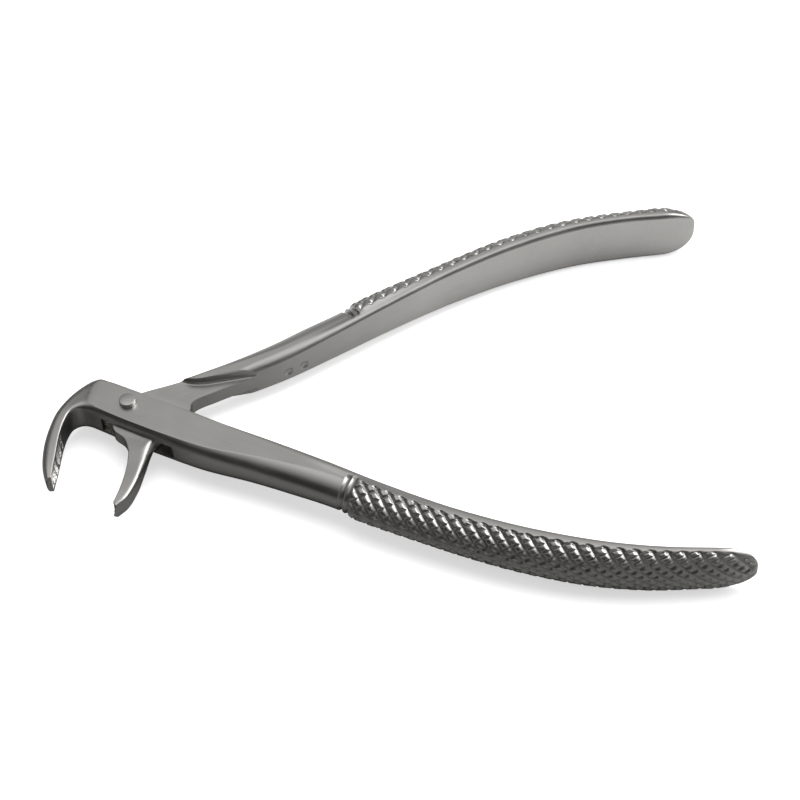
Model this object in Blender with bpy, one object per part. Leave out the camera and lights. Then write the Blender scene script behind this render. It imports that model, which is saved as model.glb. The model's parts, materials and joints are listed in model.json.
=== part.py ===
"""Extraction forceps for lower molars, with a box joint: a box half, a tongue half and a pivot pin.

Frame: the pivot axis is Z, the origin is the centre of the pivot pin's rear end, and +X halves the
angle between the open handles. Every object has its own origin at the middle of the pivot, in the
mid plane of the forceps, and its mesh is drawn about that point.

Both halves are bars laid in the mid plane. A bar is a row of stations. Each station gives the point
on the edge that starts as the handle's inner face, the point on the edge that starts as the handle's
outer face, and the shape of the closed outline between the two.
"""

import math
from typing import NamedTuple

import bmesh
import bpy
import numpy as np

MM = 0.001

# Directions of the two halves' own axes in the open pose, in degrees from +X.
BOX_AXIS = -27.0
TONGUE_AXIS = 30.5

# The joint
FACE_HEIGHT = 4.3  # half thickness over the flat faces of the box
TONGUE_HEIGHT = 1.95  # half thickness of the tongue
SLOT_HEIGHT = 2.05
PIN_RADIUS = 2.05
PIN_HEIGHT = 5.55  # half length, so the pin stands proud of both faces
PIVOT = (0.0, 0.0, PIN_HEIGHT * MM)  # the middle of the pivot
PIN_CHAMFER = 0.4
BOX_BORE = 2.15
TONGUE_BORE = 2.25

# Mesh density
RING_POINTS = 32
STEP_LONG = 4.0  # between rings along the straight lengths
STEP_TIGHT = 1.6  # between rings round the box and down the beak
END_STEPS = 5
OUTLINE_SAMPLES = 24
PIN_SIDES = 48

CUTTER_REACH = 3 * FACE_HEIGHT  # past both faces of the thickest bar
STEEL = (0.56, 0.55, 0.53, 1.0)
FORGED_ROUGHNESS = 0.34
TURNED_ROUGHNESS = 0.22


class Station(NamedTuple):
    """One outline across a bar, in millimetres, in the half's own frame."""

    near: tuple  # on the edge that starts as the handle's inner face
    far: tuple  # on the edge that starts as the handle's outer face
    height: float  # half thickness along Z
    near_round: float  # 1 is an ellipse's roundness, 0 is a square corner
    far_round: float
    crest: float  # where the outline is thickest, as a share of the way from near to far
    hollow: float = 0.0  # depth of the groove along the far side, which is the biting side of a beak


BOX_HALF = (
    Station((141.0, 17.5), (138.4, 11.9), 6.7, 0.28, 1.0, 0.20),
    Station((130.0, 12.6), (127.4, 6.2), 6.95, 0.28, 1.0, 0.20),
    Station((120.0, 9.3), (117.8, 2.4), 6.8, 0.28, 1.0, 0.20),
    Station((104.0, 5.8), (103.0, -1.2), 6.4, 0.28, 1.0, 0.20),
    Station((86.0, 3.8), (86.0, -3.3), 5.8, 0.28, 0.95, 0.20),
    Station((66.0, 3.7), (66.0, -4.0), 4.9, 0.30, 0.95, 0.25),
    Station((50.0, 4.3), (50.0, -3.8), 4.5, 0.45, 0.85, 0.32),
    Station((36.0, 4.4), (36.0, -4.5), 4.35, 0.35, 0.70, 0.40),
    Station((22.0, 4.2), (22.0, -5.8), FACE_HEIGHT, 0.12, 0.40, 0.50),
    Station((12.0, 4.15), (12.0, -5.7), FACE_HEIGHT, 0.08, 0.28, 0.50),
    Station((0.0, 4.1), (0.0, -5.35), FACE_HEIGHT, 0.08, 0.28, 0.50),
    Station((-8.6, 4.0), (-6.0, -5.0), FACE_HEIGHT, 0.10, 0.28, 0.50),
    Station((-12.5, 1.9), (-9.8, -5.5), 4.0, 0.30, 0.28, 0.50),
    Station((-14.3, -2.3), (-11.3, -7.6), 3.8, 0.45, 0.26, 0.52),
    Station((-15.1, -7.5), (-11.1, -10.6), 3.6, 0.55, 0.24, 0.55, 0.1),
    Station((-14.2, -13.0), (-9.9, -14.4), 3.45, 0.60, 0.22, 0.55, 0.4),
    Station((-11.8, -19.4), (-7.9, -19.0), 3.3, 0.65, 0.22, 0.55, 0.6),
    Station((-8.9, -24.0), (-6.3, -22.8), 3.0, 0.65, 0.22, 0.55, 0.5),
    Station((-6.7, -26.2), (-5.2, -25.0), 2.6, 0.60, 0.25, 0.55, 0.3),
)

TONGUE_HALF = (
    Station((138.6, 20.6), (135.2, 13.0), 7.1, 0.28, 0.95, 0.20),
    Station((130.0, 16.5), (126.4, 8.6), 7.2, 0.28, 0.95, 0.20),
    Station((119.0, 12.3), (116.0, 4.7), 7.0, 0.28, 0.95, 0.20),
    Station((103.0, 8.8), (102.0, 1.6), 6.5, 0.28, 0.95, 0.20),
    Station((86.0, 7.2), (86.0, 0.3), 5.8, 0.28, 0.95, 0.20),
    Station((66.0, 7.2), (66.0, -0.2), 4.9, 0.30, 0.95, 0.25),
    Station((50.0, 7.8), (50.0, 0.2), 4.5, 0.32, 0.85, 0.32),
    Station((37.0, 8.1), (37.0, 0.7), 4.4, 0.30, 0.70, 0.40),
    Station((27.0, 7.2), (27.4, 0.5), 4.3, 0.15, 0.65, 0.50),
    Station((19.6, 6.6), (19.0, -0.2), 4.0, 0.10, 0.65, 0.45),
    Station((13.6, 6.6), (12.0, -1.3), 3.0, 0.06, 0.45, 0.45),
    Station((11.0, 9.2), (4.0, -3.0), TONGUE_HEIGHT, 0.06, 0.06, 0.50),
    Station((9.0, 10.6), (-2.6, -4.0), TONGUE_HEIGHT, 0.06, 0.06, 0.50),
    Station((5.5, 11.0), (-5.6, 0.6), TONGUE_HEIGHT, 0.08, 0.06, 0.50),
    Station((1.8, 11.4), (-5.4, 5.4), TONGUE_HEIGHT, 0.20, 0.10, 0.50),
    Station((-1.0, 13.4), (-5.6, 10.4), 2.05, 0.40, 0.15, 0.50, 0.1),
    Station((-4.5, 17.3), (-8.0, 14.8), 2.2, 0.50, 0.18, 0.55, 0.35),
    Station((-8.6, 21.5), (-11.0, 18.7), 2.35, 0.55, 0.20, 0.60, 0.6),
    Station((-12.5, 24.1), (-13.6, 21.4), 2.4, 0.55, 0.22, 0.60, 0.6),
    Station((-15.2, 24.8), (-15.3, 23.1), 2.3, 0.50, 0.25, 0.60, 0.35),
)

# Where the thick shank of the tongue half steps down to the tongue, in that half's own frame.
SHOULDER = ((13.4, -9.0), (14.6, -0.9), (17.7, 2.2), (21.9, 4.5), (26.1, 6.3), (30.0, 7.2), (34.0, 7.7))
TONGUE_CLEARING = SHOULDER + ((36.0, 8.8), (37.0, 13.0), (6.0, 13.0), (4.0, -9.0))

# The slot that the tongue swings in, in the box half's own frame.
SLOT_RADIUS = 6.4  # its blind left end
SLOT_LEFT = (-134.0, -245.0)  # degrees over which that end is round
SLOT_RIGHT = (
    (-2.7, 9.0),
    (32.0, 9.0),
    (31.0, 4.5),
    (23.0, 2.1),
    (17.2, -0.4),
    (15.6, -4.0),
    (15.2, -9.0),
    (-4.5, -9.0),
)

SWELL = 0.05  # share by which an outline would stand over the flat faces that cut it, where it is square

# The ends of a bar
BEAK_POINT = 1.6  # how far the middle of a beak's end reaches past its corners
POINT_START = 0.88  # share of the bar at which that reach begins
POINT_SLOPE = 1.2  # over 1 makes the point hollow-sided
HANDLE_END = 10.3  # length of the rounded end of a handle
END_TURN = 0.93  # share of a right angle over which that end rounds, before a flat closes it
END_POWER = 0.85  # under 1 is blunter than an ellipse


def turned(points, degrees):
    """Plan points turned about the pivot."""
    angle = math.radians(degrees)
    turn = np.array([[math.cos(angle), math.sin(angle)], [-math.sin(angle), math.cos(angle)]])
    return np.asarray(points, float) @ turn


def eighth_of_outline(eighth, near_round, far_round, crest, hollow):
    """(share across, share of the height) along one eighth of an outline, which starts at the front crest."""
    angle = np.radians(90 - 45 * (eighth + np.linspace(0, 1, OUTLINE_SAMPLES)))
    out = np.abs(np.cos(angle)).clip(1e-9)
    up = np.abs(np.sin(angle)).clip(1e-9)
    on_far_side = eighth < 4
    power = far_round if on_far_side else near_round
    fullness = 1 + SWELL * (1 - far_round)
    up = np.sign(np.sin(angle)) * np.minimum(fullness * up**power, 1)
    if not on_far_side:
        return crest - crest * out**power, up
    return crest + (1 - crest) * out**power - hollow * (1 - up**2), up


def outline(near, far, height, near_round, far_round, crest, hollow, count):
    """The closed outline across a bar as count points, evenly spaced within each eighth."""
    width = math.dist(near, far)
    points = []
    for eighth in range(8):
        across, up = eighth_of_outline(eighth, near_round, far_round, crest, hollow / width)
        steps = np.hypot(np.diff(across) * width, np.diff(up) * height)
        length = np.concatenate([[0], np.cumsum(steps)])
        at = np.linspace(0, length[-1], count // 8, endpoint=False)
        across = np.interp(at, length, across)[:, None]
        up = np.interp(at, length, up)[:, None]
        points.append(np.hstack([near + (far - near) * across, up * height]))
    return np.concatenate(points)


def between(knots, values, at):
    """A smooth curve through the values at the knots, read at the places in at."""
    slopes = np.diff(values, axis=0) / np.diff(knots)[:, None]
    share = (np.diff(knots)[:-1] / (knots[2:] - knots[:-2]))[:, None]
    middle = slopes[:-1] * (1 - share) + slopes[1:] * share
    tangents = np.vstack([slopes[:1], middle, slopes[-1:]])
    left = np.clip(np.searchsorted(knots, at, side="right") - 1, 0, len(knots) - 2)
    gap = (knots[left + 1] - knots[left])[:, None]
    t = (at - knots[left])[:, None] / gap
    start, end = values[left], values[left + 1]
    ease = t * t * (3 - 2 * t)
    lift = t * (1 - t) ** 2 * gap * tangents[left] - t * t * (1 - t) * gap * tangents[left + 1]
    return start + (end - start) * ease + lift


def places(knots):
    """Where along a bar the rings stand: far apart on the handle, close together round the box."""
    found = []
    for start, end in zip(knots, knots[1:]):
        step = STEP_LONG if end - start > 2 * STEP_LONG else STEP_TIGHT
        found.append(np.linspace(start, end, math.ceil((end - start) / step), endpoint=False))
    return np.concatenate(found + [knots[-1:]])


def bar(stations):
    """Rings of points along a bar, from its handle's end to its beak's end."""
    values = np.array([[*s.near, *s.far, *s[2:]] for s in stations])
    middles = (values[:, :2] + values[:, 2:4]) / 2
    knots = np.concatenate([[0], np.cumsum(np.hypot(*np.diff(middles, axis=0).T))])
    at = places(knots)
    rows = between(knots, values, at)
    rings = np.array([outline(row[:2], row[2:4], *row[4:], RING_POINTS) for row in rows])
    return np.concatenate([rounded_end(rings[:2]), beak_end(rings, at / knots[-1])])


def rounded_end(rings):
    """Rings that close the handle, smaller and smaller, beyond the first of the two given."""
    centre = rings[0].mean(axis=0)
    outward = centre - rings[1].mean(axis=0)
    outward /= np.linalg.norm(outward)
    angle = np.linspace(END_TURN * math.pi / 2, 0, END_STEPS, endpoint=False)[:, None, None]
    shrunk = (rings[0] - centre) * np.cos(angle) ** END_POWER
    return centre + shrunk + outward * HANDLE_END * np.sin(angle)


def beak_end(rings, share):
    """The same rings with the middle of the beak's end drawn out to a point."""
    outward = rings[-1].mean(axis=0) - rings[-2].mean(axis=0)
    outward /= np.linalg.norm(outward)
    late = np.clip((share - POINT_START) / (1 - POINT_START), 0, 1)[:, None, None] ** 2
    middle = 1 - np.abs(rings[..., 2:]) / np.abs(rings[..., 2:]).max(axis=1, keepdims=True)
    return rings + outward * BEAK_POINT * late * middle**POINT_SLOPE


def placed(rings, axis, mirrored):
    """Rings from a half's own frame to the object's, in metres."""
    moved = rings * np.array([1, -1 if mirrored else 1, 1])
    moved[..., :2] = turned(moved[..., :2], axis)
    return moved * MM


def mesh_object(name, vertices, faces):
    shape = bmesh.new()
    made = [shape.verts.new(vertex) for vertex in vertices]
    for face in faces:
        shape.faces.new([made[index] for index in face])
    bmesh.ops.recalc_face_normals(shape, faces=shape.faces)
    for face in shape.faces:
        face.smooth = True
    data = bpy.data.meshes.new(name)
    shape.to_mesh(data)
    shape.free()
    made_object = bpy.data.objects.new(name, data)
    made_object.location = PIVOT
    bpy.context.scene.collection.objects.link(made_object)
    return made_object


def loft(name, rings):
    """A closed skin over the rings. Each end is closed by strips between its two sides."""
    count = rings.shape[1]
    faces = []
    for row in range(len(rings) - 1):
        for column in range(count):
            right = (column + 1) % count
            corners = ((row, column), (row, right), (row + 1, right), (row + 1, column))
            faces.append([r * count + c for r, c in corners])
    for row in (0, len(rings) - 1):
        for column in range(count // 2):
            strip = (column, column + 1, count - column - 1, (count - column) % count)
            faces.append([row * count + c for c in dict.fromkeys(strip)])
    return mesh_object(name, rings.reshape(-1, 3), faces)


def prism(name, corners, bottom, top):
    """A hidden cutter with this plan outline, in metres, from bottom to top in millimetres."""
    count = len(corners)
    vertices = [(x, y, z) for z in (bottom * MM, top * MM) for x, y in corners]
    sides = [(i, (i + 1) % count, count + (i + 1) % count, count + i) for i in range(count)]
    cutter = mesh_object(name, vertices, [*sides, range(count), range(count, 2 * count)])
    cutter.hide_render = True
    cutter.display_type = "WIRE"
    return cutter


def circle(radius, sides=PIN_SIDES):
    return [(radius * math.cos(a), radius * math.sin(a)) for a in np.arange(sides) * math.tau / sides]


def cut(target, cutter):
    boolean = target.modifiers.new(cutter.name, "BOOLEAN")
    boolean.operation = "DIFFERENCE"
    boolean.solver = "EXACT"
    boolean.object = cutter


def steel(name, roughness):
    material = bpy.data.materials.new(name)
    material.use_nodes = True
    shader = material.node_tree.nodes["Principled BSDF"]
    shader.inputs["Base Color"].default_value = STEEL
    shader.inputs["Metallic"].default_value = 1.0
    shader.inputs["Roughness"].default_value = roughness
    return material


def slot_outline():
    angles = np.radians(np.linspace(*SLOT_LEFT, 9))
    round_end = SLOT_RADIUS * np.stack([np.cos(angles), np.sin(angles)], 1)
    return np.vstack([round_end, SLOT_RIGHT])


def box_half():
    half = loft("box_half", placed(bar(BOX_HALF), BOX_AXIS, False))
    half.data.materials.append(steel("steel_box_half", FORGED_ROUGHNESS))
    slot = turned(slot_outline(), BOX_AXIS) * MM
    cut(half, prism("box_slot_cutter", slot, -SLOT_HEIGHT, SLOT_HEIGHT))
    bore = np.array(circle(BOX_BORE)) * MM
    cut(half, prism("box_bore_cutter", bore, -CUTTER_REACH, CUTTER_REACH))
    return half


def tongue_half():
    half = loft("tongue_half", placed(bar(TONGUE_HALF), TONGUE_AXIS, True))
    half.data.materials.append(steel("steel_tongue_half", FORGED_ROUGHNESS))
    clearing = turned(np.array(TONGUE_CLEARING) * (1, -1), TONGUE_AXIS) * MM
    cut(half, prism("tongue_front_cutter", clearing, TONGUE_HEIGHT, CUTTER_REACH))
    cut(half, prism("tongue_back_cutter", clearing, -CUTTER_REACH, -TONGUE_HEIGHT))
    bore = np.array(circle(TONGUE_BORE)) * MM
    cut(half, prism("tongue_bore_cutter", bore, -CUTTER_REACH, CUTTER_REACH))
    return half


def pivot_pin():
    profile = (
        (PIN_RADIUS - PIN_CHAMFER, PIN_HEIGHT),
        (PIN_RADIUS, PIN_HEIGHT - PIN_CHAMFER),
        (PIN_RADIUS, PIN_CHAMFER - PIN_HEIGHT),
        (PIN_RADIUS - PIN_CHAMFER, -PIN_HEIGHT),
    )
    rings = np.array([[(x, y, z) for x, y in circle(r)] for r, z in profile])
    pin = loft("pivot_pin", rings * MM)
    pin.data.materials.append(steel("steel_pivot_pin", TURNED_ROUGHNESS))
    return pin


def main():
    for old in list(bpy.data.objects):
        bpy.data.objects.remove(old)
    box_half()
    tongue_half()
    pivot_pin()


main()
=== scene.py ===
"""The looks of the extraction forceps: knurled handles, ground faces, filed beaks and a studio.

Lengths here are millimetres in the forceps' own mid plane, with the pivot at the origin, until a
mesh is made: metres() then moves them to the frame's pivot. Each half is a bar, which is a row of
stations. A station gives the point on the edge that starts as the handle's inner face (near), the
point on the edge that starts as its knurled outer face (far), and the outline across the bar.
"""

import json
import math
from typing import NamedTuple

import bpy
import numpy as np
from mathutils import Matrix, Vector


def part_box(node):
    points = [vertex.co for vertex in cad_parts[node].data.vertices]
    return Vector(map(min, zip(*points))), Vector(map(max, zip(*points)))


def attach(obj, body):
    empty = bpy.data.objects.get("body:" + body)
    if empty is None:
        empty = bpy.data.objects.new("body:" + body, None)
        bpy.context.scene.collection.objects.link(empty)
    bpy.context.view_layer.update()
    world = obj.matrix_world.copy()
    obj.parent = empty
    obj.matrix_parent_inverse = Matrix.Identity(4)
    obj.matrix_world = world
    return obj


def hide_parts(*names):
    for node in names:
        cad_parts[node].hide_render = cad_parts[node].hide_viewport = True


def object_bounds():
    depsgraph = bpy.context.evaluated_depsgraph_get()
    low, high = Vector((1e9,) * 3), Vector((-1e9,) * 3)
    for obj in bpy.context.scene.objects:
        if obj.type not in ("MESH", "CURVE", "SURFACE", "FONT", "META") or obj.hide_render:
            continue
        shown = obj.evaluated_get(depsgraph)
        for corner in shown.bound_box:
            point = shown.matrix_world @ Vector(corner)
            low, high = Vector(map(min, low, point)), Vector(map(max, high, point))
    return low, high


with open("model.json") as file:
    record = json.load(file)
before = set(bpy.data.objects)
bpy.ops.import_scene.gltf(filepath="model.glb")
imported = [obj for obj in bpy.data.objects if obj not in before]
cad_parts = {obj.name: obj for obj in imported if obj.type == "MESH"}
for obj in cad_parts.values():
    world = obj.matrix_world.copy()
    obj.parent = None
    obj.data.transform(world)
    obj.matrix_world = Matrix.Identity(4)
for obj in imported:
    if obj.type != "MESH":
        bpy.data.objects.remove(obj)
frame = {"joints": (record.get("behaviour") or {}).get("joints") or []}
CAD_BOUNDS = [list(corner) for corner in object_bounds()]
PIVOT = Vector(frame["joints"][0]["pos_m"])
MM = 0.001

# Directions of the two halves' own axes in the open pose, in degrees from +X.
BOX_AXIS = -27.0
TONGUE_AXIS = 30.5

# The joint
FACE_HEIGHT = 4.3  # half thickness over the flat faces of the box
TONGUE_HEIGHT = 1.95
SLOT_HEIGHT = 2.05
PIN_RADIUS = 1.95
PIN_RIM = 0.18  # radius of the round at its rim
PIN_DOME = 0.1  # how far its end stands over that rim
PIN_TOP_RINGS = (0.05, 0.3, 0.55, 0.75)  # where the end's rings stand, as shares of the radius
BOX_BORE = 2.0
TONGUE_BORE = 2.15

# Knurling: two families of V grooves that cross, cut into the outer face of each handle. Each
# pair of numbers is where the grooves start and where they are full.
KNURL_ALONG = 3.35  # pitch along the handle
KNURL_AROUND = 3.0  # pitch round it
KNURL_DEPTH = 0.62
KNURL_SLOPE = math.tan(math.radians(43))
KNURL_EDGE = (2.0, 2.6)  # distance from the near edge
KNURL_START = (59.6, 60.6)  # distance from the pivot
KNURL_RUN_OUT = (0.8, 3.0)  # radius of the rings that close the handle
# Of each family: which way it leans, how much later it starts, and its share of the depth.
KNURL_FAMILIES = ((1, 0.0, 1.0), (-1, 0.3, 0.78))

# Two ring grooves mark the start of the knurling, with a step from the shank up to the grip.
RING_PLACES = (57.7, 59.3)  # distance from the pivot
RING_WIDTH = 0.62  # half width
RING_DEPTH = 0.42
RING_EDGE = (1.2, 2.6)  # distance from the near edge where they start, and are full
SWELL = 0.45  # how far the knurled grip stands over the shank
SWELL_RISE = (59.3, 61.2)  # distances from the pivot over which it rises, and falls away again
SWELL_FALL = (62.0, 84.0)
DIP = 0.27  # how far the shank narrows before the rings
DIP_START = 44.0

# Filed teeth along the biting side of each beak
TEETH_PITCH = 0.62
TEETH_DEPTH = 0.30
TEETH_REACH = (13.5, 16.5)  # distance from the beak's end where they fade
TEETH_COLUMNS = 4  # columns on each side of the biting side's corner over which they fade
TEETH_RUN_OUT = 8  # the higher, the closer they come to the beak's top and bottom
TEETH_WANDERS = ((0.3, 0.9, 0.0), (0.2, 2.3, 1.3))  # size in teeth, radians per mm, start
CHATTER_PITCH = 1.05  # of the cross cuts, along the beak
CHATTER_DEPTH = 0.08
CHATTER_WANDER = (0.35, 1.7)  # size in cuts, radians per mm

# Two punch marks on the inner face of the tongue half: along it, and above the mid plane.
PUNCH_PLACES = ((38.4, -1.0), (42.6, -1.2))
PUNCH_RADIUS = 1.1
PUNCH_DEPTH = 0.5

# Mesh density
COLUMNS = (30, 28, 28, 30, 14, 22, 22, 14)  # per eighth of an outline
FAR_COLUMN = COLUMNS[0] + COLUMNS[1]  # the one along the middle of the far side
FIRST_NEAR_COLUMN = sum(COLUMNS[:4])
OUTLINE_SAMPLES = 60
LENGTH_SAMPLES = 4000
STEP_KNURL = KNURL_ALONG / 16
STEP_PLAIN = 0.3
FINE_START = 55.7  # distance from the pivot where the knurled part's step begins
ROUND_SIDES = 96
BEND_POINTS = 9  # of a fillet
RIM_POINTS = 12
SHOULDER_POINTS = 60
SLOT_END_POINTS = 24
SHARP_ANGLE = 38  # degrees between faces from which an edge is drawn sharp
PIN_SHARP_ANGLE = 50
TINY = 1e-9  # keeps powers and divisions off zero

# The ends of a bar
BOX_END = 10.3  # length of the rounded end of its handle
TONGUE_END = 9.8
END_TURN = 0.985  # share of a right angle over which that end rounds
END_STEPS = 44
BOX_POINT = 0.4  # how far the middle of its beak's end reaches past the corners
TONGUE_POINT = 1.5
POINT_START = 0.88  # share of the bar's length where that reach starts
POINT_SLOPE = 1.2  # over 1 makes the point hollow-sided


class Station(NamedTuple):
    """One outline across a bar."""

    near: tuple
    far: tuple
    flat: float  # half thickness over the flat faces
    crown: float  # half thickness that the outline would have without them
    near_round: float  # 1 is an ellipse's roundness, 0 is a square corner
    far_round: float
    crest: float  # where the outline is thickest, as a share of the way from near to far
    ground: float = 0.0  # 1 where the near side is ground flat, 0 where it is left round
    hollow: float = 0.0  # depth of the groove along the biting side of a beak


BOX_HALF = (
    Station((141.0, 17.5), (138.4, 11.9), 6.80, 6.80, 0.50, 1.0, 0.26, 1.0),
    Station((130.0, 12.6), (127.4, 6.2), 7.05, 7.05, 0.50, 1.0, 0.26, 1.0),
    Station((120.0, 9.3), (117.8, 2.4), 6.90, 6.90, 0.50, 1.0, 0.26, 1.0),
    Station((104.0, 5.8), (103.0, -1.2), 6.50, 6.50, 0.50, 1.0, 0.26, 1.0),
    Station((86.0, 3.8), (86.0, -3.3), 5.90, 5.90, 0.50, 1.0, 0.27, 1.0),
    Station((66.0, 3.7), (66.0, -4.0), 5.05, 5.05, 0.50, 0.98, 0.30, 1.0),
    Station((50.0, 4.3), (50.0, -3.9), 4.65, 4.70, 0.50, 0.92, 0.34, 0.9),
    Station((36.0, 4.4), (36.0, -4.7), 4.38, 4.62, 0.45, 0.85, 0.42, 0.6),
    Station((22.0, 4.2), (22.0, -6.1), FACE_HEIGHT, 4.90, 0.34, 0.76, 0.50),
    Station((12.0, 4.15), (12.0, -6.1), FACE_HEIGHT, 5.05, 0.30, 0.68, 0.50),
    Station((0.0, 4.1), (0.0, -5.9), FACE_HEIGHT, 5.00, 0.28, 0.62, 0.50),
    Station((-7.8, 4.05), (-6.0, -5.5), FACE_HEIGHT, 4.70, 0.26, 0.50, 0.50),
    Station((-10.1, 4.0), (-7.9, -5.45), FACE_HEIGHT, 4.42, 0.28, 0.44, 0.52),
    Station((-11.5, 3.1), (-9.1, -5.6), 4.25, 4.18, 0.36, 0.38, 0.54),
    Station((-12.9, 1.1), (-10.2, -6.1), 4.2, 3.98, 0.48, 0.33, 0.56),
    Station((-14.3, -2.4), (-11.3, -7.8), 4.0, 3.72, 0.60, 0.32, 0.58),
    Station((-15.1, -7.5), (-11.1, -10.6), 3.8, 3.50, 0.70, 0.30, 0.60, 0.0, 0.1),
    Station((-14.2, -13.0), (-9.9, -14.4), 3.7, 3.38, 0.74, 0.28, 0.61, 0.0, 0.35),
    Station((-11.8, -19.4), (-7.9, -19.0), 3.5, 3.22, 0.74, 0.28, 0.61, 0.0, 0.5),
    Station((-8.9, -24.0), (-6.3, -22.8), 3.2, 2.95, 0.72, 0.28, 0.60, 0.0, 0.9),
    Station((-6.5, -26.4), (-5.2, -25.5), 3.0, 2.60, 0.66, 0.30, 0.54, 0.0, 1.3),
)

TONGUE_HALF = (
    Station((138.6, 20.6), (138.4, 13.2), 7.10, 7.10, 0.50, 1.0, 0.26, 1.0),
    Station((130.0, 16.5), (127.4, 8.7), 7.25, 7.25, 0.50, 1.0, 0.26, 1.0),
    Station((119.0, 12.3), (116.4, 4.6), 7.10, 7.10, 0.50, 1.0, 0.26, 1.0),
    Station((103.0, 8.8), (102.0, 1.6), 6.60, 6.60, 0.50, 1.0, 0.26, 1.0),
    Station((86.0, 7.2), (86.0, 0.3), 5.90, 5.90, 0.50, 1.0, 0.27, 1.0),
    Station((66.0, 7.2), (66.0, -0.2), 5.10, 5.10, 0.52, 0.98, 0.29, 1.0),
    Station((50.0, 7.8), (50.0, 0.2), 4.75, 4.75, 0.62, 0.95, 0.33, 0.9),
    Station((37.0, 8.0), (37.0, 0.7), 4.62, 4.65, 0.74, 0.92, 0.40, 0.75),
    Station((27.0, 7.1), (27.4, 0.5), 4.45, 4.55, 0.62, 0.85, 0.46, 0.6),
    Station((19.6, 6.4), (19.0, -0.2), 4.20, 4.50, 0.34, 0.75, 0.46, 0.3),
    Station((13.6, 6.3), (12.0, -1.3), 3.2, 3.5, 0.12, 0.45, 0.45),
    Station((11.6, 8.6), (4.0, -3.0), TONGUE_HEIGHT, 2.0, 0.08, 0.08, 0.50),
    Station((9.2, 10.5), (-2.6, -4.0), TONGUE_HEIGHT, 2.0, 0.08, 0.08, 0.50),
    Station((5.5, 11.0), (-4.7, 0.8), TONGUE_HEIGHT, 2.05, 0.14, 0.10, 0.50),
    Station((2.4, 11.1), (-5.9, 3.9), TONGUE_HEIGHT, 2.15, 0.34, 0.14, 0.42),
    Station((0.6, 12.0), (-5.0, 6.9), TONGUE_HEIGHT, 2.15, 0.60, 0.14, 0.42),
    Station((-1.2, 13.6), (-5.6, 10.4), 2.10, 2.15, 0.74, 0.14, 0.50, 0.0, 0.1),
    Station((-4.6, 17.2), (-8.0, 14.8), 2.25, 2.30, 0.66, 0.16, 0.50, 0.0, 0.35),
    Station((-8.7, 21.3), (-11.0, 18.7), 2.45, 2.45, 0.58, 0.16, 0.50, 0.0, 0.7),
    Station((-12.5, 23.9), (-13.6, 21.4), 2.50, 2.45, 0.56, 0.16, 0.52, 0.0, 1.1),
    Station((-15.3, 24.6), (-15.4, 23.0), 2.40, 2.30, 0.50, 0.18, 0.52, 0.0, 1.4),
)

# Where the thick shank of the tongue half steps down to the tongue, in that half's own frame.
SHOULDER = (
    (13.4, -9.0),
    (14.2, -1.6),
    (15.6, 0.6),
    (18.3, 2.6),
    (21.7, 4.0),
    (25.1, 5.3),
    (28.6, 6.6),
    (32.0, 8.4),
)
SHOULDER_BACK = ((33.0, 13.0), (6.0, 13.0), (4.0, -9.0))
SHOULDER_FOOT = 0.7  # radius of the fillet at its foot
SHOULDER_RIM = 0.3  # radius of the round along its top edge

# The slot that the tongue swings in, in the box half's own frame.
SLOT_RADIUS = 6.4  # its blind left end
SLOT_LEFT = (-134.0, -245.0)  # degrees over which that end is round
SLOT_RIGHT = ((32.0, 9.0), (31.0, 4.5), (23.0, 2.1), (17.2, -0.4), (15.6, -4.0), (15.2, -9.0))
SLOT_ABOVE = (-2.7, 9.0)  # where it leaves the box on either side
SLOT_BELOW = (-4.5, -9.0)
SLOT_ROUND = 0.8  # how far the slot's right end draws in towards its top and bottom
SLOT_INWARD = (-0.5, 0.85)  # the direction in which it does
SLOT_ROUND_STEPS = 8


# ---------------------------------------------------------------- shapes of a bar


def turned(points, degrees):
    """Plan points turned about the pivot."""
    angle = math.radians(degrees)
    turn = np.array([[math.cos(angle), math.sin(angle)], [-math.sin(angle), math.cos(angle)]])
    return np.asarray(points, float) @ turn


def smoothstep(value, start, end):
    """0 before the start and 1 after the end, with a smooth rise between them."""
    t = np.clip((value - start) / (end - start), 0, 1)
    return t * t * (3 - 2 * t)


def between(knots, values, at):
    """A smooth curve through the values at the knots, read at the places in at."""
    slopes = np.diff(values, axis=0) / np.diff(knots)[:, None]
    share = (np.diff(knots)[:-1] / (knots[2:] - knots[:-2]))[:, None]
    middle = slopes[:-1] * (1 - share) + slopes[1:] * share
    tangents = np.vstack([slopes[:1], middle, slopes[-1:]])
    left = np.clip(np.searchsorted(knots, at, side="right") - 1, 0, len(knots) - 2)
    gap = (knots[left + 1] - knots[left])[:, None]
    t = (at - knots[left])[:, None] / gap
    start, end = values[left], values[left + 1]
    ease = t * t * (3 - 2 * t)
    lift = t * (1 - t) ** 2 * gap * tangents[left] - t * t * (1 - t) * gap * tangents[left + 1]
    return start + (end - start) * ease + lift


def chord_lengths(points):
    """How far along the line each of its points lies."""
    return np.concatenate([[0], np.cumsum(np.linalg.norm(np.diff(points, axis=0), axis=1))])


def smooth_line(points, count):
    """Evenly spaced points of a smooth curve through the given ones."""
    points = np.asarray(points, float)
    knots = chord_lengths(points)
    return between(knots, points, np.linspace(0, knots[-1], count))


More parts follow.
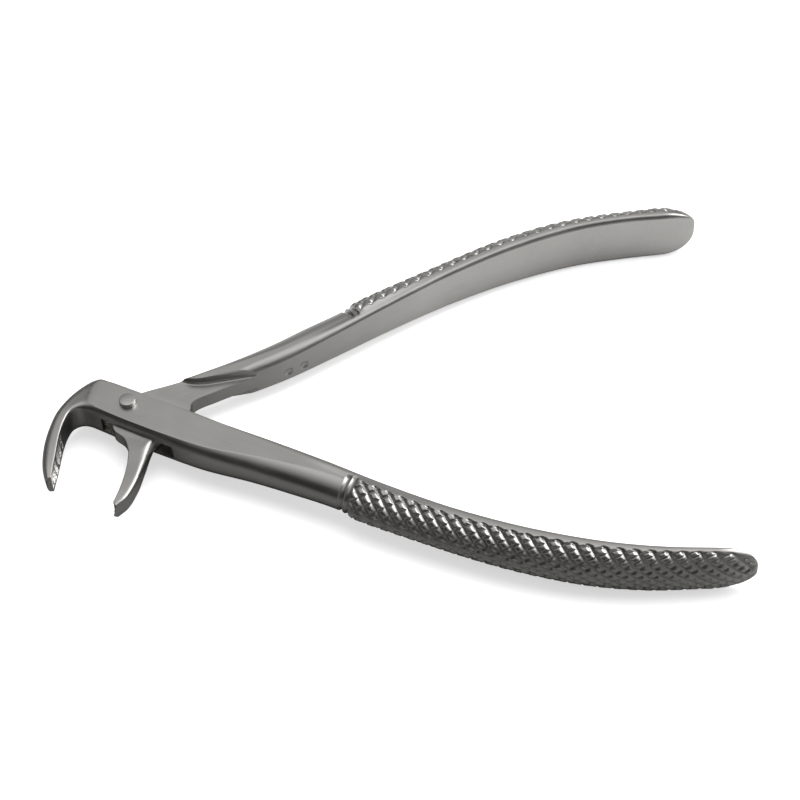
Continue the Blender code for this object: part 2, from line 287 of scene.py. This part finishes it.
def eighth_of_outline(eighth, row):
    """(share across, height) along one eighth of an outline, which starts at the front crest."""
    flat, crown, near_round, far_round, crest, ground, hollow = row[4:]
    width = math.dist(row[:2], row[2:4])
    angle = np.radians(90 - 45 * (eighth + np.linspace(0, 1, OUTLINE_SAMPLES)))
    out = np.abs(np.cos(angle)).clip(TINY)
    up = np.abs(np.sin(angle)).clip(TINY)
    on_far_side = eighth < 4
    power = far_round if on_far_side else near_round
    height = np.sign(np.sin(angle)) * np.minimum(crown * up**power, flat)
    if not on_far_side:
        # A side that is ground flat reaches its full width at 45 degrees.
        widened = (1 + ground * (math.sqrt(2) - 1)) * out
        return crest - crest * np.minimum(widened, 1) ** power, height
    groove = hollow / width * (1 - (height / crown) ** 2)
    return crest + (1 - crest) * out**power - groove, height


def outline(row):
    """The closed outline across a bar, evenly spaced within each eighth: (share across, height)."""
    width = math.dist(row[:2], row[2:4])
    points = []
    for eighth, count in enumerate(COLUMNS):
        across, height = eighth_of_outline(eighth, row)
        length = chord_lengths(np.stack([across * width, height], 1))
        at = np.linspace(0, length[-1], count, endpoint=False)
        points.append(np.stack([np.interp(at, length, across), np.interp(at, length, height)], 1))
    return np.concatenate(points)


def places_along(knots, from_pivot):
    """Where along a bar its rings of points stand: closer together in the knurling."""
    fine = np.linspace(0, knots[-1], LENGTH_SAMPLES)
    distance = np.interp(fine, knots, from_pivot)
    step = np.where(distance > FINE_START, STEP_KNURL, STEP_PLAIN)
    rings = np.concatenate([[0], np.cumsum(np.diff(fine) / step[1:])])
    return np.interp(np.linspace(0, rings[-1], math.ceil(rings[-1]) + 1), rings, fine)


class Bar(NamedTuple):
    """A grid of points on a bar's skin, a row for each ring, and what its details are placed by."""

    points: np.ndarray
    across: np.ndarray  # distance from the near edge
    along: np.ndarray  # distance from the beak's end, per ring
    reach: np.ndarray  # distance from the pivot, per ring


def bar(stations, end_length, point):
    """The skin through the stations, with a rounded handle end and a beak drawn out to a point."""
    values = np.array([[*s.near, *s.far, *s[2:]] for s in stations])
    middles = (values[:, :2] + values[:, 2:4]) / 2
    knots = chord_lengths(middles)
    at = places_along(knots, np.linalg.norm(middles, axis=1))
    rows = between(knots, values, at)
    shape = np.array([outline(row) for row in rows])
    near, far = rows[:, None, :2], rows[:, None, 2:4]
    plan = near + (far - near) * shape[..., :1]
    points = np.concatenate([plan, shape[..., 1:]], axis=2)
    width = np.linalg.norm(rows[:, 2:4] - rows[:, :2], axis=1)[:, None]
    points = beak_end(points, at / knots[-1], point)
    end = rounded_end(points[:2], end_length)
    points = np.concatenate([end, points])
    across = shape[..., 0] * width
    across = np.concatenate([np.repeat(across[:1], len(end), 0), across])
    along = np.concatenate([np.full(len(end), knots[-1]), knots[-1] - at])
    reach = np.linalg.norm(points.mean(axis=1)[:, :2], axis=1)
    return Bar(points, across, along, reach)


def rounded_end(rings, length):
    """Rings that close the handle, smaller and smaller, beyond the first of the two given."""
    centre = rings[0].mean(axis=0)
    outward = centre - rings[1].mean(axis=0)
    outward /= np.linalg.norm(outward)
    angle = np.linspace(END_TURN * math.pi / 2, 0, END_STEPS, endpoint=False)[:, None, None]
    return centre + (rings[0] - centre) * np.cos(angle) + outward * length * np.sin(angle)


def beak_end(rings, share, point):
    """The same rings with the middle of the beak's end drawn out to a point."""
    outward = rings[-1].mean(axis=0) - rings[-2].mean(axis=0)
    outward /= np.linalg.norm(outward)
    late = np.clip((share - POINT_START) / (1 - POINT_START), 0, 1)[:, None, None] ** 2
    height = np.abs(rings[..., 2:])
    middle = 1 - height / height.max(axis=1, keepdims=True)
    return rings + outward * point * late * middle**POINT_SLOPE


# ---------------------------------------------------------------- details on its skin


def normals(grid):
    """Outward normals of a grid that closes on itself along each ring."""
    along = np.gradient(grid, axis=0)
    round_ring = np.roll(grid, -1, axis=1) - np.roll(grid, 1, axis=1)
    found = np.cross(along, round_ring)
    found /= np.linalg.norm(found, axis=2, keepdims=True) + TINY
    outward = grid - grid.mean(axis=1, keepdims=True)
    return found * np.sign((found * outward).sum(axis=2).mean())


def to_groove(place):
    """Distance from the nearest whole number."""
    return np.abs(place - np.round(place))


def knurl_depth(skin):
    """How deep the knurling cuts. Its two families of grooves run out where the side turns flat."""
    along = chord_lengths(skin.points[:, FAR_COLUMN])[:, None]
    steps = np.linalg.norm(np.diff(skin.points, axis=1, append=skin.points[:, :1]), axis=2)
    around = np.cumsum(steps, axis=1) - steps
    around = around - around[:, FAR_COLUMN : FAR_COLUMN + 1]
    spacing = 1 / math.hypot(1 / KNURL_ALONG, 1 / KNURL_AROUND)
    from_middle = skin.points - skin.points.mean(axis=1, keepdims=True)
    ring_radius = np.linalg.norm(from_middle, axis=2).max(axis=1)
    share_here = smoothstep(skin.reach, *KNURL_START) * smoothstep(ring_radius, *KNURL_RUN_OUT)
    depth = np.zeros(skin.across.shape)
    for lean, late, share in KNURL_FAMILIES:
        fading = share_here[:, None] * smoothstep(skin.across - late, *KNURL_EDGE)
        distance = to_groove(along / KNURL_ALONG + lean * around / KNURL_AROUND) * spacing
        depth = np.maximum(depth, share * KNURL_DEPTH * fading - KNURL_SLOPE * distance)
    return depth


def ring_depth(skin):
    """Two round grooves across the outer face, and the step up to the grip after them."""
    reach = skin.reach
    edge = smoothstep(skin.across, *RING_EDGE)
    swell = smoothstep(reach, *SWELL_RISE) * (1 - smoothstep(reach, *SWELL_FALL))
    dip = smoothstep(reach, DIP_START, RING_PLACES[0]) * (1 - smoothstep(reach, *RING_PLACES))
    depth = DIP * dip - SWELL * swell
    for place in RING_PLACES:
        inside = np.clip(1 - ((reach - place) / RING_WIDTH) ** 2, 0, 1)
        depth = depth + RING_DEPTH * np.sqrt(inside)
    return depth[:, None] * edge


def teeth_depth(skin):
    """Grooves filed along the biting side of a beak, none quite straight, and fainter cross cuts."""
    height = skin.points[..., 2]
    along = skin.along[:, None]
    wander = sum(size * np.sin(rate * along + start) for size, rate, start in TEETH_WANDERS)
    teeth = 1 - np.abs(np.sin(math.pi * (height / TEETH_PITCH + wander)))
    size, rate = CHATTER_WANDER
    chatter = np.sin(math.tau * (along / CHATTER_PITCH + size * np.sin(rate * height)))
    depth = TEETH_DEPTH * teeth + CHATTER_DEPTH * (1 + chatter) / 2
    from_far = np.abs(np.arange(sum(COLUMNS)) - FAR_COLUMN)
    to_corner = COLUMNS[1]
    on_side = 1 - smoothstep(from_far, to_corner - TEETH_COLUMNS, to_corner + TEETH_COLUMNS)
    near_end = 1 - smoothstep(along, *TEETH_REACH)
    inside = 1 - (height / np.abs(height).max(axis=1, keepdims=True)) ** TEETH_RUN_OUT
    return depth * on_side * near_end * inside


def punch_depth(skin):
    """Two round dents in the inner face."""
    on_near_side = np.arange(sum(COLUMNS)) >= FIRST_NEAR_COLUMN
    depth = np.zeros(skin.across.shape)
    for along, height in PUNCH_PLACES:
        distance = np.hypot(skin.points[..., 0] - along, skin.points[..., 2] - height)
        inside = np.clip(1 - (distance / PUNCH_RADIUS) ** 2, 0, 1)
        depth += PUNCH_DEPTH * np.sqrt(inside) * on_near_side
    return depth


def detailed(skin, extra_depth=0.0):
    """The skin's points moved in by the depth of every detail."""
    depth = knurl_depth(skin) + ring_depth(skin) + teeth_depth(skin) + extra_depth
    return skin.points - normals(skin.points) * depth[..., None]


# ---------------------------------------------------------------- meshes


def metres(points):
    """From millimetres about the pivot to the frame."""
    return np.asarray(points, float) * MM + np.array(PIVOT)


def placed(points, axis, mirrored):
    """From a half's own frame to the open pose."""
    moved = np.array(points, float) * (1, -1 if mirrored else 1, 1)
    moved[..., :2] = turned(moved[..., :2], axis)
    return moved


def mesh_object(name, vertices, faces):
    """A new object in the scene, from points in metres."""
    data = bpy.data.meshes.new(name)
    data.from_pydata(vertices.tolist(), [], faces)
    data.validate()
    made = bpy.data.objects.new(name, data)
    bpy.context.scene.collection.objects.link(made)
    return made


def face_outward(made):
    """Turns the faces round if the solid's volume comes out negative."""
    data = made.data
    data.calc_loop_triangles()
    points = np.empty(len(data.vertices) * 3)
    data.vertices.foreach_get("co", points)
    corners = np.empty(len(data.loop_triangles) * 3, int)
    data.loop_triangles.foreach_get("vertices", corners)
    points = points.reshape(-1, 3)
    triangles = (points - points.mean(axis=0))[corners.reshape(-1, 3)]
    if np.linalg.det(triangles).sum() < 0:
        data.flip_normals()


def skin_object(name, grid):
    """A skin over a grid of rings, with strips from front to back over both ends."""
    rows, count = grid.shape[:2]
    row, column = np.meshgrid(np.arange(rows - 1), np.arange(count), indexing="ij")
    start, after = row * count, (column + 1) % count
    corners = [start + column, start + after, start + count + after, start + count + column]
    faces = np.stack(corners, -1).reshape(-1, 4).tolist()
    for end in (0, rows - 1):
        for step in range(count // 2):
            front = [(FAR_COLUMN - step) % count, (FAR_COLUMN - step - 1) % count]
            back = [(FAR_COLUMN + step + 1) % count, (FAR_COLUMN + step) % count]
            strip = list(dict.fromkeys(front + back))
            if len(strip) > 2:
                faces.append([end * count + place for place in strip])
    made = mesh_object(name, metres(grid).reshape(-1, 3), faces)
    tidy_normals(made)
    return made


def tidy_normals(made):
    """Makes the faces agree with each other and look outward."""
    bpy.context.view_layer.objects.active = made
    made.select_set(True)
    bpy.ops.object.mode_set(mode="EDIT")
    bpy.ops.mesh.select_all(action="SELECT")
    bpy.ops.mesh.normals_make_consistent(inside=False)
    bpy.ops.object.mode_set(mode="OBJECT")
    made.select_set(False)
    face_outward(made)


def stack_object(name, layers):
    """A solid through a stack of outlines that all have the same number of points."""
    layers = np.asarray(layers, float)
    levels, count = layers.shape[:2]
    faces = [list(range(count)), list(range((levels - 1) * count, levels * count))]
    for level in range(levels - 1):
        low, high = level * count, (level + 1) * count
        for i in range(count):
            j = (i + 1) % count
            faces.append([low + i, low + j, high + j, high + i])
    made = mesh_object(name, metres(layers).reshape(-1, 3), faces)
    tidy_normals(made)
    return made


def at_height(corners, height):
    """Plan points lifted to a height."""
    return np.column_stack([corners, np.full(len(corners), height)])


def bore(radius):
    """A round cutter along the pivot, well past both faces."""
    ends = (-3 * FACE_HEIGHT, 3 * FACE_HEIGHT)
    return stack_object("bore", [at_height(circle(radius), height) for height in ends])


def cut(target, cutter):
    """Takes the cutter out of the target and deletes it."""
    boolean = target.modifiers.new("cut", "BOOLEAN")
    boolean.operation = "DIFFERENCE"
    boolean.solver = "EXACT"
    boolean.object = cutter
    bpy.context.view_layer.objects.active = target
    bpy.ops.object.modifier_apply(modifier=boolean.name)
    bpy.data.objects.remove(cutter)


def circle(radius):
    """Plan points round the pivot."""
    angles = np.arange(ROUND_SIDES) * math.tau / ROUND_SIDES
    return radius * np.column_stack([np.cos(angles), np.sin(angles)])


def slot_cutter():
    """The slot, round at its left end. Its right end draws in towards the slot's top and bottom."""
    angles = np.radians(np.linspace(*SLOT_LEFT, SLOT_END_POINTS))
    round_end = SLOT_RADIUS * np.stack([np.cos(angles), np.sin(angles)], 1)
    layers = []
    for turn in np.linspace(-math.pi / 2, math.pi / 2, 2 * SLOT_ROUND_STEPS + 1):
        reach = SLOT_ROUND * (1 - abs(math.cos(turn)))
        right = np.array(SLOT_RIGHT) + reach * np.array(SLOT_INWARD)
        corners = np.vstack([round_end, SLOT_ABOVE, right, SLOT_BELOW])
        layers.append(at_height(turned(corners, BOX_AXIS), SLOT_HEIGHT * math.sin(turn)))
    return stack_object("slot", layers)


def shoulder_cutter(front):
    """What clears the shank above the tongue, rounded at the shoulder's foot and at its rim."""
    line = smooth_line(SHOULDER, SHOULDER_POINTS)
    tangent = np.gradient(line, axis=0)
    tangent /= np.linalg.norm(tangent, axis=1)[:, None]
    into_clearing = np.column_stack([-tangent[:, 1], tangent[:, 0]])
    bend = np.radians(np.linspace(0, 90, BEND_POINTS))
    foot_heights = TONGUE_HEIGHT + SHOULDER_FOOT * (1 - np.cos(bend))
    rim_heights = FACE_HEIGHT - SHOULDER_RIM * (1 - np.sin(bend))
    heights = [*foot_heights, *rim_heights, 2 * FACE_HEIGHT]
    foot_backs = SHOULDER_FOOT * (1 - np.sin(bend))
    rim_backs = SHOULDER_RIM * (np.cos(bend) - 1)
    backs = [*foot_backs, *rim_backs, -2 * SHOULDER_RIM]
    layers = []
    for height, back in zip(heights, backs):
        layers.append(at_height(np.vstack([line + into_clearing * back, SHOULDER_BACK]), height))
    layers = placed(layers, TONGUE_AXIS, True) * (1, 1, 1 if front else -1)
    return stack_object("shoulder_cutter", layers)


def smooth_shaded(made, degrees=SHARP_ANGLE):
    """Smooth shading, with edges from this angle up left sharp."""
    made.data.shade_smooth()
    made.data.set_sharp_from_angle(angle=math.radians(degrees))


def box_half():
    """The half with the slotted box and the outer beak."""
    skin = bar(BOX_HALF, BOX_END, BOX_POINT)
    made = skin_object("box_half_forging", placed(detailed(skin), BOX_AXIS, False))
    cut(made, slot_cutter())
    cut(made, bore(BOX_BORE))
    smooth_shaded(made)
    return made


def tongue_half():
    """The half with the shoulder, the tongue and the inner beak."""
    skin = bar(TONGUE_HALF, TONGUE_END, TONGUE_POINT)
    grid = placed(detailed(skin, punch_depth(skin)), TONGUE_AXIS, True)
    made = skin_object("tongue_half_forging", grid)
    cut(made, shoulder_cutter(True))
    cut(made, shoulder_cutter(False))
    cut(made, bore(TONGUE_BORE))
    smooth_shaded(made)
    return made


def pivot_pin():
    """A turned pin with a rounded rim and a slightly domed end."""
    low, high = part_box("pivot_pin")
    top = (high.z - low.z) / 2 / MM
    side = top - PIN_DOME - PIN_RIM
    bend = np.radians(np.linspace(0, 90, RIM_POINTS))
    half = [(PIN_RADIUS * share, top - PIN_DOME * share**2) for share in PIN_TOP_RINGS]
    half += [(PIN_RADIUS - PIN_RIM * (1 - math.sin(t)), side + PIN_RIM * math.cos(t)) for t in bend]
    profile = half + [(radius, -height) for radius, height in reversed(half)]
    rings = [at_height(circle(radius), height) for radius, height in profile]
    made = stack_object("pivot_pin_turned", rings)
    smooth_shaded(made, PIN_SHARP_ANGLE)
    return made


# ---------------------------------------------------------------- materials

# Colour, roughness and strength of the grain
SATIN = ((0.56, 0.55, 0.53), 0.33, 0.25)
TURNED = ((0.60, 0.59, 0.57), 0.30, 0.1)

# Noises over the steel, in cells per metre
CLOUDS = 90.0
BLAST = 5200.0
STREAKS = 2600.0
STREAK = (30.0, 1.0, 1.0)  # how much longer than wide a streak is
NOISE_RANGE = (0.3, 0.7)  # what nearly all of a noise's values lie between

# What they do to the steel
CLOUD_TONE = (0.94, 1.03)
EDGE_TONE = (-0.02, 0.02)
STREAK_TONE = (-0.025, 0.025)
UNEVEN = 0.03  # how far each noise shifts the roughness
RELIEF = 0.00002  # height of the grain in metres


class Nodes:
    """Adds nodes to a tree and links them, with inputs given by name."""

    def __init__(self, tree):
        self.tree = tree

    def add(self, kind, **inputs):
        node = self.tree.nodes.new(kind)
        for name, value in inputs.items():
            self.feed(node.inputs[name.replace("_", " ")], value)
        return node

    def feed(self, socket, value):
        if isinstance(value, bpy.types.NodeSocket):
            self.tree.links.new(value, socket)
        else:
            socket.default_value = value

    def math(self, operation, first, second=0.0):
        node = self.tree.nodes.new("ShaderNodeMath")
        node.operation = operation
        self.feed(node.inputs[0], first)
        self.feed(node.inputs[1], second)
        return node.outputs[0]

    def noise(self, where, scale, detail=2.0):
        node = self.add("ShaderNodeTexNoise", Scale=scale, Detail=detail, Vector=where)
        return node.outputs["Fac"]

    def spread(self, value, low, high):
        """A noise spread from low to high."""
        node = self.add(
            "ShaderNodeMapRange",
            Value=value,
            From_Min=NOISE_RANGE[0],
            From_Max=NOISE_RANGE[1],
            To_Min=low,
            To_Max=high,
        )
        return node.outputs["Result"]

    def toward(self, where, aim):
        """How far a place or a direction lies along the aim."""
        node = self.tree.nodes.new("ShaderNodeVectorMath")
        node.operation = "DOT_PRODUCT"
        self.feed(node.inputs[0], where)
        self.feed(node.inputs[1], aim)
        return node.outputs["Value"]

    def in_view(self, reflected, seen):
        """One shader for what the steel reflects, and another for what is seen directly."""
        direct = self.add("ShaderNodeLightPath").outputs["Is Camera Ray"]
        mix = self.add("ShaderNodeMixShader", Fac=direct)
        self.feed(mix.inputs[1], reflected)
        self.feed(mix.inputs[2], seen)
        return mix.outputs[0]


def steel(name, finish, axis=0.0):
    """Satin steel: a fine grain, soft clouds, faint streaks along the axis, and brighter edges."""
    colour, roughness, grain = finish
    material = bpy.data.materials.new(name)
    material.use_nodes = True
    nodes = Nodes(material.node_tree)
    shader = material.node_tree.nodes["Principled BSDF"]
    where = nodes.add("ShaderNodeTexCoord").outputs["Object"]
    clouds = nodes.noise(where, CLOUDS, 3.0)
    blast = nodes.noise(where, BLAST)
    turn = (0, 0, math.radians(axis))
    along = nodes.add("ShaderNodeMapping", Vector=where, Rotation=turn, Scale=STREAK)
    along.vector_type = "TEXTURE"
    streaks = nodes.noise(along.outputs["Vector"], STREAKS)
    edges = nodes.add("ShaderNodeNewGeometry").outputs["Pointiness"]
    tone = nodes.math("ADD", nodes.spread(clouds, *CLOUD_TONE), nodes.spread(edges, *EDGE_TONE))
    tone = nodes.math("ADD", tone, nodes.spread(streaks, *STREAK_TONE))
    tint = nodes.add("ShaderNodeVectorMath")
    tint.operation = "SCALE"
    tint.inputs[0].default_value = colour
    nodes.feed(tint.inputs["Scale"], tone)
    nodes.feed(shader.inputs["Base Color"], tint.outputs[0])
    shader.inputs["Metallic"].default_value = 1.0
    rough = nodes.spread(clouds, roughness - UNEVEN, roughness + UNEVEN)
    for noise in (blast, streaks):
        rough = nodes.math("ADD", rough, nodes.spread(noise, -UNEVEN, UNEVEN))
    nodes.feed(shader.inputs["Roughness"], rough)
    relief = nodes.math("ADD", blast, streaks)
    bump = nodes.add("ShaderNodeBump", Strength=grain, Distance=RELIEF, Height=relief)
    nodes.feed(shader.inputs["Normal"], bump.outputs["Normal"])
    return material


# ---------------------------------------------------------------- studio

CAMERA_PLACE = (78.04, -326.60, 386.71)
CAMERA_AIM = (-0.02825, 0.64697, -0.76199)
CAMERA_UP = (0.03113, 0.76250, 0.64625)
CAMERA_LENS = 96.9
CAMERA_SENSOR = 36.0

# Soft boxes that the steel reflects, in a dark room: azimuth and elevation of the middle in
# degrees, half angle of the even part and of the whole in degrees, and brightness.
SKY_DARK = 0.03
SOFT_BOXES = (
    (18.0, 39.0, 18.0, 30.0, 3.10),
    (75.0, 63.0, 8.0, 38.0, 0.50),
    (-60.0, 86.0, 10.0, 48.0, 0.40),
    (150.0, 52.0, 10.0, 36.0, 0.25),
    (-50.0, 0.0, 8.0, 40.0, 0.18),
    (90.0, 12.0, 14.0, 34.0, 0.30),
)
BACKDROP = (0.9, 0.9, 0.9, 1.0)

# The floor, in metres, and the painted shade on it that only the steel sees: the floor it reflects
# is darker on the box half's outer side, fading out across the box half over these distances from the
# pivot and between these tones.
FLOOR_SIZE = 6.0
FLOOR_GAP = 0.00005
FLOOR_COLOUR = (0.86, 0.86, 0.86, 1.0)
FLOOR_ROUGHNESS = 0.9
FLOOR_GLOW = 0.6
PAINTED_SHADE_EDGE = (0.004, 0.062)
PAINTED_SHADE_TONES = (0.18, 0.62)

LAMP_PLACE = (0.15, 0.25, 0.9)
LAMP_SIZE = 0.9
LAMP_POWER = 6.0


def direction(azimuth, elevation):
    """The unit vector with these angles in degrees."""
    azimuth, elevation = math.radians(azimuth), math.radians(elevation)
    flat = math.cos(elevation)
    return (flat * math.cos(azimuth), flat * math.sin(azimuth), math.sin(elevation))


def studio_light():
    """A world of soft boxes for the steel, and a pale one behind the floor's edge."""
    world = bpy.data.worlds.new("studio")
    world.use_nodes = True
    bpy.context.scene.world = world
    tree = world.node_tree
    nodes = Nodes(tree)
    where = nodes.add("ShaderNodeTexCoord").outputs["Generated"]
    total = SKY_DARK
    for azimuth, elevation, even, whole, brightness in SOFT_BOXES:
        fall = nodes.add(
            "ShaderNodeMapRange",
            Value=nodes.toward(where, direction(azimuth, elevation)),
            From_Min=math.cos(math.radians(whole)),
            From_Max=math.cos(math.radians(even)),
            To_Max=brightness,
        )
        fall.interpolation_type = "SMOOTHSTEP"
        total = nodes.math("ADD", total, fall.outputs["Result"])
    studio = tree.nodes["Background"]
    nodes.feed(studio.inputs["Color"], total)
    pale = nodes.add("ShaderNodeBackground", Color=BACKDROP)
    both = nodes.in_view(studio.outputs[0], pale.outputs[0])
    nodes.feed(tree.nodes["World Output"].inputs["Surface"], both)


def floor():
    """A pale floor just under the forceps.

    The steel reflects one that doesn't glow, with painted shade that darkens it on the box half's
    outer side.
    """
    half = FLOOR_SIZE / 2
    corners = np.array([(-half, -half), (half, -half), (half, half), (-half, half)])
    made = mesh_object("floor", at_height(corners, CAD_BOUNDS[0][2] - FLOOR_GAP), [[0, 1, 2, 3]])
    material = bpy.data.materials.new("pale_floor")
    material.use_nodes = True
    nodes = Nodes(material.node_tree)
    shader = material.node_tree.nodes["Principled BSDF"]
    shader.inputs["Base Color"].default_value = FLOOR_COLOUR
    shader.inputs["Roughness"].default_value = FLOOR_ROUGHNESS
    shader.inputs["Emission Color"].default_value = (1.0, 1.0, 1.0, 1.0)
    shader.inputs["Emission Strength"].default_value = FLOOR_GLOW
    where = nodes.add("ShaderNodeTexCoord").outputs["Object"]
    # painted shade: the floor that the steel reflects is darker towards the box half's outer side,
    # standing in for the shadow on the floor there
    painted_shade = nodes.add(
        "ShaderNodeMapRange",
        Value=nodes.toward(where, direction(BOX_AXIS + 90, 0)),
        From_Min=PAINTED_SHADE_EDGE[0],
        From_Max=PAINTED_SHADE_EDGE[1],
        To_Min=PAINTED_SHADE_TONES[0],
        To_Max=PAINTED_SHADE_TONES[1],
    )
    unlit = nodes.add("ShaderNodeBsdfDiffuse", Color=painted_shade.outputs["Result"])
    both = nodes.in_view(unlit.outputs[0], shader.outputs[0])
    nodes.feed(material.node_tree.nodes["Material Output"].inputs["Surface"], both)
    made.data.materials.append(material)


def overhead():
    """A broad lamp that lights the floor and lays a soft shadow, without a reflection in the steel."""
    lamp = bpy.data.lights.new("overhead", "AREA")
    lamp.shape = "DISK"
    lamp.size = LAMP_SIZE
    lamp.energy = LAMP_POWER
    made = bpy.data.objects.new("overhead", lamp)
    made.location = LAMP_PLACE
    made.rotation_euler = (Vector(LAMP_PLACE) - PIVOT).to_track_quat("Z", "Y").to_euler()
    made.visible_glossy = False
    bpy.context.scene.collection.objects.link(made)


def camera():
    """A long lens that looks down on the joint at a slant."""
    aim, up = Vector(CAMERA_AIM), Vector(CAMERA_UP)
    turn = Matrix((aim.cross(up), up, -aim)).transposed().to_4x4()
    data = bpy.data.cameras.new("camera")
    data.lens = CAMERA_LENS
    data.sensor_width = CAMERA_SENSOR
    made = bpy.data.objects.new("camera", data)
    made.matrix_world = Matrix.Translation(Vector(metres(CAMERA_PLACE))) @ turn
    bpy.context.scene.collection.objects.link(made)
    bpy.context.scene.camera = made


def finished(piece, material, body, node):
    """Gives a piece its steel and its place on the CAD model."""
    piece.data.materials.append(material)
    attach(piece, body)
    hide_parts(node)


def main():
    camera()
    studio_light()
    overhead()
    floor()
    box_steel = steel("box_half_steel", SATIN, BOX_AXIS)
    tongue_steel = steel("tongue_half_steel", SATIN, TONGUE_AXIS)
    turned_steel = steel("turned_steel", TURNED)
    finished(box_half(), box_steel, "box_half", "box_half")
    finished(tongue_half(), tongue_steel, "tongue_half", "tongue_half")
    finished(pivot_pin(), turned_steel, "box_half", "pivot_pin")
    bpy.context.scene.view_settings.view_transform = "Standard"


main()
